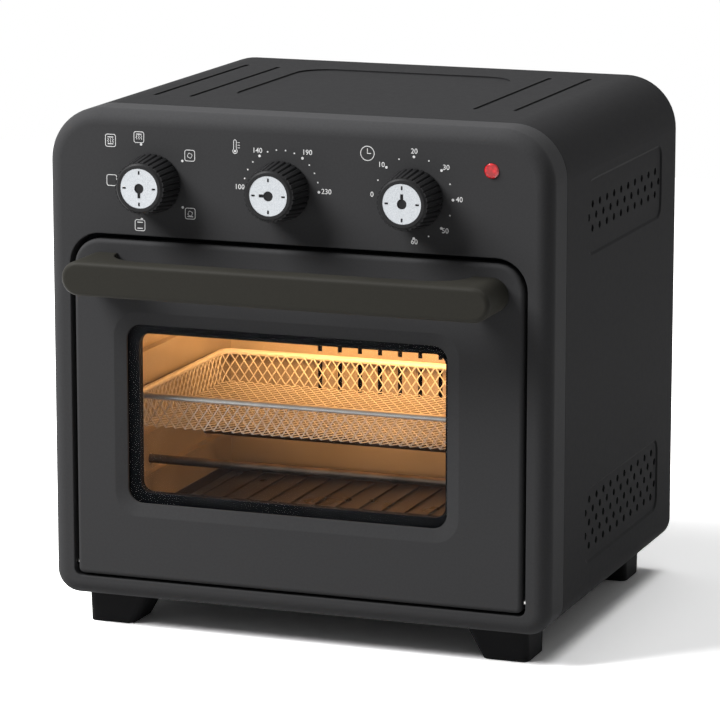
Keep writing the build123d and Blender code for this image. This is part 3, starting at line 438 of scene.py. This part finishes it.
def cavity_icon(shape, x, z, kind, size=ICON_SIZE):
    """Little oven outline with what is on inside it."""
    width, height = size
    stroke(shape, round_box(x, z, width, height, ICON_CORNER), LINE, closed=True)
    half = width * BAR_SHARE
    for word, side in (("top", 1), ("low", -1)):
        if word in kind:
            level = z + side * height * BAR_SHARE
            stroke(shape, [(x - half, level), (x + half, level)], BAR_LINE)
    if "fan" in kind:
        for blade in range(BLADE_COUNT):
            turn = blade * 360 / BLADE_COUNT + BLADE_LEAN
            blade_x = x + BLADE_RADIUS * math.cos(math.radians(turn))
            blade_z = z + BLADE_RADIUS * math.sin(math.radians(turn))
            start = turn - BLADE_SWEEP / 2
            stroke(shape, arc(blade_x, blade_z, BLADE_RADIUS, start, BLADE_SWEEP, BLADE_STEPS), THIN_LINE)
    if "heat" in kind:
        for column in (-1, 0, 1):
            start = x + column * WAVE_PITCH
            wave = []
            for i in range(WAVE_POINTS):
                swing = WAVE_SWING * math.sin(i * math.pi / 2)
                wave.append((start + swing, z - WAVE_LOW + i * WAVE_STEP))
            stroke(shape, wave, THIN_LINE)


PRINT_RISE = 0.7 * MM
DIAL_Z = (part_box("timer_knob")[0].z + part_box("timer_knob")[1].z) / 2 + PRINT_RISE
DIAL_X = {name: (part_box(f"{name}_knob")[0].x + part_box(f"{name}_knob")[1].x) / 2
          for name in ("function", "temperature", "timer")}


BIG_DOT = 0.95 * MM
SMALL_DOT = 0.55 * MM
ICON_DOT = 0.9 * MM
ICON_DOT_REACH = 27.6 * MM
# Each icon round the function dial: its turn in degrees, its distance in millimetres and what it shows
ICONS = ((180, 31.0, "plain"), (108, 32.8, "top heat"), (36, 34.5, "fan"), (-36, 34.5, "low fan"),
         (-108, 32.2, "top low"))
LARGE_ICON_AT = (-31.6 * MM, 27.9 * MM)


def function_print(shape):
    """Icons round the function dial, each with its dot."""
    centre = Vector((DIAL_X["function"], DIAL_Z))
    for turn, reach, kind in ICONS:
        way = Vector((math.cos(math.radians(turn)), math.sin(math.radians(turn))))
        spot = centre + way * reach * MM
        cavity_icon(shape, spot.x, spot.y, kind)
        if kind != "plain":
            mark = centre + way * ICON_DOT_REACH
            dot(shape, mark.x, mark.y, ICON_DOT)
    right, up = LARGE_ICON_AT
    cavity_icon(shape, centre.x + right, centre.y + up, "top low heat", LARGE_ICON_SIZE)


TEMPERATURE_STEPS = 13
TEMPERATURE_REACH = 27.7 * MM
TEMPERATURE_BIG = (4, 9, 13)
THERMOMETER_AT = (-33.9 * MM, 28.0 * MM)
BULB_DROP = 2.8 * MM
BULB_RADIUS = 1.7 * MM
BULB_START = 125
BULB_SWEEP = 290
BULB_STEPS = 14
BULB_FILL = 0.9 * MM
STEM_HALF = 1.0 * MM
STEM_CAP_STEPS = 6
STEM_START = 1.4 * MM
STEM_TOP = 4.0 * MM
GRADE_COUNT = 3
GRADE_PITCH = 1.8 * MM
GRADE_LOW = 0.4 * MM
GRADE_ENDS = (1.9 * MM, 3.6 * MM)


def temperature_print(shape):
    """Half ring of dots over the temperature dial, and the thermometer."""
    centre = Vector((DIAL_X["temperature"], DIAL_Z))
    for step in range(TEMPERATURE_STEPS + 1):
        turn = math.radians(180 - step * 180 / TEMPERATURE_STEPS)
        size = BIG_DOT if step in TEMPERATURE_BIG else SMALL_DOT
        right = TEMPERATURE_REACH * math.cos(turn)
        up = TEMPERATURE_REACH * math.sin(turn)
        dot(shape, centre.x + right, centre.y + up, size)
    x = centre.x + THERMOMETER_AT[0]
    z = centre.y + THERMOMETER_AT[1]
    bulb = z - BULB_DROP
    stroke(shape, arc(x, bulb, BULB_RADIUS, BULB_START, BULB_SWEEP, BULB_STEPS), LINE)
    for side in (-STEM_HALF, STEM_HALF):
        stroke(shape, [(x + side, bulb + STEM_START), (x + side, z + STEM_TOP)], LINE)
    stroke(shape, arc(x, z + STEM_TOP, STEM_HALF, 0, 180, STEM_CAP_STEPS), LINE)
    dot(shape, x, bulb, BULB_FILL)
    for row in range(GRADE_COUNT):
        level = z + row * GRADE_PITCH - GRADE_LOW
        stroke(shape, [(x + end, level) for end in GRADE_ENDS], THIN_LINE)


TIMER_DOTS = 12
TIMER_STEP = 22.5
TIMER_REACH = 28.0 * MM
CLOCK_AT = (-33.5 * MM, 28.7 * MM)
CLOCK_RADIUS = 4.9 * MM
CLOCK_SIDES = 36
CLOCK_LINE = LINE * 1.1
LONG_HAND = 3.4 * MM
SHORT_HAND = 2.6 * MM


def timer_print(shape):
    """Dots round the timer dial, and the clock."""
    centre = Vector((DIAL_X["timer"], DIAL_Z))
    for step in range(1, TIMER_DOTS + 1):
        turn = math.radians(180 - step * TIMER_STEP)
        size = BIG_DOT if step % 2 == 0 else SMALL_DOT
        right = TIMER_REACH * math.cos(turn)
        up = TIMER_REACH * math.sin(turn)
        dot(shape, centre.x + right, centre.y + up, size)
    x = centre.x + CLOCK_AT[0]
    z = centre.y + CLOCK_AT[1]
    stroke(shape, ring(x, z, CLOCK_RADIUS, CLOCK_SIDES), CLOCK_LINE, closed=True)
    stroke(shape, [(x, z + LONG_HAND), (x, z), (x + SHORT_HAND, z)], LINE)


piece("function_icons", function_print, PANEL_PRINT, "oven")
piece("temperature_marks", temperature_print, PANEL_PRINT, "oven")
piece("timer_marks", timer_print, PANEL_PRINT, "oven")

NUMBER_SIZE = 5.0 * MM
NUMBER_BOLD = 0.04 * MM
NUMBER_STEPS = 3
# Each number beside its dial, with its place right of and over the dial's middle in millimetres
NUMBERS = {
    "temperature": [("100", -30.6, 0.4), ("140", -17.4, 26.4), ("190", 19.2, 26.9), ("230", 33.2, 0.5)],
    "timer": [("0", -30.2, 0.6), ("10", -23.4, 21.4), ("20", 0.2, 31.8), ("30", 23.1, 21.9),
              ("40", 32.6, 0.4), ("50", 22.6, -21.5), ("60", 0.4, -30.3)],
}


def number(name, text, x, z):
    """One printed number, centred at a place on the front face."""
    curve = bpy.data.curves.new(name, "FONT")
    curve.body = text
    curve.size = NUMBER_SIZE
    curve.align_x = "CENTER"
    curve.align_y = "CENTER"
    curve.extrude = (PRINT_OUT + PRINT_IN) / 2
    curve.offset = NUMBER_BOLD
    curve.resolution_u = NUMBER_STEPS
    flat = bpy.data.objects.new(name + "_curve", curve)
    bpy.context.scene.collection.objects.link(flat)
    bpy.context.view_layer.update()
    mesh = bpy.data.meshes.new_from_object(flat)
    mesh.transform(Matrix.Translation((x, FACE_Y - (PRINT_OUT - PRINT_IN) / 2, z))
                   @ Matrix.Rotation(math.pi / 2, 4, "X"))
    bpy.data.objects.remove(flat)
    made = bpy.data.objects.new(name, mesh)
    bpy.context.scene.collection.objects.link(made)
    made.data.materials.clear()
    made.data.materials.append(PANEL_PRINT)
    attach(made, "oven")


for dial, labels in NUMBERS.items():
    for text, right, up in labels:
        number(f"{dial}_number_{text}", text, DIAL_X[dial] + right * MM, DIAL_Z + up * MM)


# The pane is the one in the solids, a little thinner
GLASS_GAP = 0.05 * MM
GLASS_CORNER = 8.0 * MM


def glass_pane(shape):
    """The door's pane, a hair clear of the frame behind it."""
    low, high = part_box("door_glass")
    middle = ((low.x + high.x) / 2, (low.z + high.z) / 2)
    outline = round_box(*middle, high.x - low.x, high.z - low.z, GLASS_CORNER)
    front_prism(shape, outline, low.y + GLASS_GAP, high.y - GLASS_GAP)


clear_pane = piece("clear_pane", glass_pane, LOOKS["door_glass"], "door")
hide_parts("door_glass")


# Basket net: two crossing families of wires on its bottom and along its sides


WIRE_SIDES = 6
WIRE_SIDEWAYS = Vector((0.31, 0.17, 0.93))


def wire(shape, points, radius):
    """Round wire through a list of points."""
    rings = []
    for i, point in enumerate(points):
        before = points[max(i - 1, 0)]
        after = points[min(i + 1, len(points) - 1)]
        way = (after - before).normalized()
        across = way.cross(WIRE_SIDEWAYS).normalized()
        up = way.cross(across)
        circle = []
        for k in range(WIRE_SIDES):
            turn = 2 * math.pi * k / WIRE_SIDES
            place = point + across * radius * math.cos(turn) + up * radius * math.sin(turn)
            circle.append(shape.verts.new(place))
        rings.append(circle)
    for first, second in zip(rings, rings[1:]):
        for k in range(WIRE_SIDES):
            j = (k + 1) % WIRE_SIDES
            shape.faces.new((first[k], first[j], second[j], second[k]))
    shape.faces.new(rings[0][::-1])
    shape.faces.new(rings[-1])


NET_PITCH = 7.4 * MM
NET_WIRE = 0.45 * MM
BOTTOM_WIRE = 0.36 * MM
NET_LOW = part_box("basket_mesh")[0]
RIM_LOW, RIM_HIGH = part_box("basket_rim")
RIM_RADIUS = (RIM_HIGH.z - RIM_LOW.z) / 2
RIM_Z = (RIM_HIGH.z + RIM_LOW.z) / 2
NET_CORNER = 8.0 * MM
NET_INSET = 1.7 * MM
NET_STEPS = 8
NET_TALLNESS = 0.8
BOTTOM_INSET = 3.9 * MM
BOTTOM_SLOPE = 0.62
BOTTOM_LIFT = 0.35 * NET_WIRE
SHORTEST_SHARE = 0.02
ROUNDING = 1e-9
RIM_LAP = 0.3


def net_edge():
    """Closed outline of the net in plan."""
    inset = NET_INSET + RIM_RADIUS
    left, right = RIM_LOW.x + inset, RIM_HIGH.x - inset
    front, back = RIM_LOW.y + inset, RIM_HIGH.y - inset
    middle = ((left + right) / 2, (front + back) / 2)
    outline = round_box(*middle, right - left, back - front, NET_CORNER)
    outline.append(outline[0])
    return [Vector(point) for point in outline]


def along(outline, distance):
    """Point at a distance along a closed outline."""
    for a, b in zip(outline, outline[1:]):
        length = (b - a).length
        if distance <= length:
            return a.lerp(b, distance / length) if length else a
        distance -= length
    return outline[-1]


def wall_net(shape, low, top):
    """Two families of wires that lean either way round the walls."""
    outline = net_edge()
    total = sum((b - a).length for a, b in zip(outline, outline[1:]))
    height = top - low
    count = round(total / NET_PITCH)
    pitch = total / count
    lean = pitch * round(height / (pitch * NET_TALLNESS)) / 2
    for family in (1, -1):
        for i in range(count):
            points = []
            for step in range(NET_STEPS + 1):
                share = step / NET_STEPS
                spot = along(outline, (i * pitch + family * lean * share) % total)
                points.append(Vector((spot.x, spot.y, low + height * share)))
            wire(shape, points, NET_WIRE)


def bottom_net(shape, low):
    """Two families of straight wires that cross along the bottom."""
    left, right = RIM_LOW.x + BOTTOM_INSET, RIM_HIGH.x - BOTTOM_INSET
    front, back = RIM_LOW.y + BOTTOM_INSET, RIM_HIGH.y - BOTTOM_INSET
    reach = (back - front) * BOTTOM_SLOPE
    for family in (1, -1):
        spot = left - reach
        lift = low + family * BOTTOM_LIFT
        while spot < right + reach:
            ends = []
            for y in (front, back):
                x = spot + family * (y - front) * BOTTOM_SLOPE + (reach if family < 0 else 0)
                ends.append((x, y))
            clipped = clip(ends, left, right)
            if clipped:
                wire(shape, [Vector((x, y, lift)) for x, y in clipped], BOTTOM_WIRE)
            spot += NET_PITCH


def net(shape):
    """Diamond mesh of the walls and the bottom."""
    low = NET_LOW.z + NET_WIRE
    wall_net(shape, low, RIM_Z - RIM_RADIUS * RIM_LAP)
    bottom_net(shape, low)


def clip(ends, left, right):
    """The part of a straight wire between two x limits, or nothing."""
    (x0, y0), (x1, y1) = ends
    shares = [0.0, 1.0]
    for limit in (left, right):
        if (x0 - limit) * (x1 - limit) < 0:
            shares.append((limit - x0) / (x1 - x0))
    shares = sorted(s for s in shares if left - ROUNDING <= x0 + (x1 - x0) * s <= right + ROUNDING)
    if len(shares) < 2 or shares[-1] - shares[0] < SHORTEST_SHARE:
        return None
    return [(x0 + (x1 - x0) * s, y0 + (y1 - y0) * s) for s in (shares[0], shares[-1])]


basket_net = piece("basket_net", net, NODE_LOOKS["basket_rim"], "basket")
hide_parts("basket_mesh")


# Stage: floor, lamps and camera


def seen_or_reflected(tree):
    """One for rays from the camera, in mirrors and behind glass, and zero for the light that bounces."""
    path = tree.nodes.new("ShaderNodeLightPath")
    result = path.outputs["Is Camera Ray"]
    for kind in ("Is Glossy Ray", "Is Transmission Ray"):
        larger = tree.nodes.new("ShaderNodeMath")
        larger.operation = "MAXIMUM"
        tree.links.new(result, larger.inputs[0])
        tree.links.new(path.outputs[kind], larger.inputs[1])
        result = larger.outputs[0]
    return result


FLOOR_COLOUR = 0.42
FLOOR_SEEN = 1.7
FLOOR_HALF = 2.0
FLOOR_DROP = 0.2 * MM


def floor_look():
    """Pale floor that reads as white where it is lit and keeps the shadow."""
    bounce = (FLOOR_COLOUR, FLOOR_COLOUR, FLOOR_COLOUR, 1.0)
    seen = (FLOOR_SEEN, FLOOR_SEEN, FLOOR_SEEN, 1.0)
    look = Shader("floor_white", bounce, 0.9)
    look.main.inputs["Specular IOR Level"].default_value = 0.0
    look.tint(seen_or_reflected(look.tree), bounce, seen, 0.0, 1.0)
    return look.material


def floor_mesh(shape):
    """Square that lies just under the feet."""
    corners = ((-1, -1), (1, -1), (1, 1), (-1, 1))
    shape.faces.new([shape.verts.new((x * FLOOR_HALF, y * FLOOR_HALF, -FLOOR_DROP)) for x, y in corners])


floor_data = bpy.data.meshes.new("studio_floor")
floor_shape = bmesh.new()
floor_mesh(floor_shape)
floor_shape.to_mesh(floor_data)
floor_shape.free()
studio_floor = bpy.data.objects.new("studio_floor", floor_data)
bpy.context.scene.collection.objects.link(studio_floor)
studio_floor.data.materials.append(floor_look())


def area_lamp(name, place, target, size, power, colour=(1.0, 1.0, 1.0)):
    """Soft square lamp that looks at its target."""
    lamp = bpy.data.lights.new(name, "AREA")
    lamp.size = size
    lamp.energy = power
    lamp.color = colour
    holder = bpy.data.objects.new(name, lamp)
    bpy.context.scene.collection.objects.link(holder)
    holder.location = place
    holder.rotation_euler = (Vector(target) - Vector(place)).to_track_quat("-Z", "Y").to_euler()
    return holder


MIDDLE = (0.0, 0.0, 0.19)
STUDIO_LAMP_SIZE = 1.4
KEY_PLACE = (-1.62, -1.14, 2.17)
KEY_POWER = 142.0
TOP_PLACE = (0.5, 0.6, 3.2)
TOP_POWER = 36.0
area_lamp("key_lamp", KEY_PLACE, MIDDLE, STUDIO_LAMP_SIZE, KEY_POWER)
area_lamp("top_lamp", TOP_PLACE, MIDDLE, STUDIO_LAMP_SIZE, TOP_POWER)

# Two unseen lamps light the cavity: a strip at the front of its ceiling and a small one high at the right
WARM = (1.0, 0.5, 0.17)
cavity_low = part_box("cavity_left_wall")[0]
cavity_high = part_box("cavity_right_wall")[1]
STRIP_LENGTH = 0.2
STRIP_WIDTH = 0.02
STRIP_SPREAD = 110
STRIP_INSET = 0.03
STRIP_AIM = (0.0, 0.1, 0.02)
STRIP_POWER = 2.0
glow_place = Vector(((cavity_low.x + cavity_high.x) / 2, cavity_low.y + STRIP_INSET,
                     cavity_high.z - STRIP_INSET))
glow = area_lamp("cavity_glow", glow_place, glow_place + Vector(STRIP_AIM), STRIP_LENGTH, STRIP_POWER, WARM)
glow.data.shape = "RECTANGLE"
glow.data.size_y = STRIP_WIDTH
glow.data.spread = math.radians(STRIP_SPREAD)
SIDE_INSET = 0.02
SIDE_BEHIND_STRIP = 0.03
SIDE_AIM_BEHIND = 0.08
SIDE_AIM_DROP = 0.03
SIDE_SIZE = 0.03
SIDE_POWER = 0.75
side_place = (cavity_high.x - SIDE_INSET, glow_place.y + SIDE_BEHIND_STRIP, cavity_high.z - SIDE_INSET)
side_target = (cavity_low.x, glow_place.y + SIDE_AIM_BEHIND, cavity_high.z - SIDE_AIM_DROP)
side_glow = area_lamp("side_glow", side_place, side_target, SIDE_SIZE, SIDE_POWER, WARM)
for lamp in (glow, side_glow):
    lamp.visible_camera = False
    lamp.visible_transmission = False
    lamp.visible_glossy = False

world = bpy.data.worlds.new("studio")
bpy.context.scene.world = world
world.use_nodes = True
world_tree = world.node_tree
background = world_tree.nodes["Background"]
background.inputs["Color"].default_value = (1.0, 1.0, 1.0, 1.0)
WORLD_LIGHT = 0.17
WORLD_SEEN = 1.0
world_rise = world_tree.nodes.new("ShaderNodeMapRange")
world_rise.inputs["To Min"].default_value = WORLD_LIGHT
world_rise.inputs["To Max"].default_value = WORLD_SEEN
world_tree.links.new(seen_or_reflected(world_tree), world_rise.inputs["Value"])
world_tree.links.new(world_rise.outputs["Result"], background.inputs["Strength"])

CAMERA_PLACE = (0.99096, -2.68845, 0.76447)
CAMERA_TURN = math.radians(20.23)
CAMERA_TILT = math.radians(11.52)
CAMERA_LENS = 202.71
CAMERA_REACH = 60.0
camera_data = bpy.data.cameras.new("camera")
camera_data.sensor_width = 36.0
camera_data.lens = CAMERA_LENS
camera_data.clip_end = CAMERA_REACH
camera = bpy.data.objects.new("camera", camera_data)
bpy.context.scene.collection.objects.link(camera)
camera.location = CAMERA_PLACE
backwards = Vector((math.sin(CAMERA_TURN) * math.cos(CAMERA_TILT),
                    -math.cos(CAMERA_TURN) * math.cos(CAMERA_TILT), math.sin(CAMERA_TILT)))
camera.rotation_euler = (-backwards).to_track_quat("-Z", "Y").to_euler()
bpy.context.scene.camera = camera

bpy.context.scene.view_settings.view_transform = "Standard"
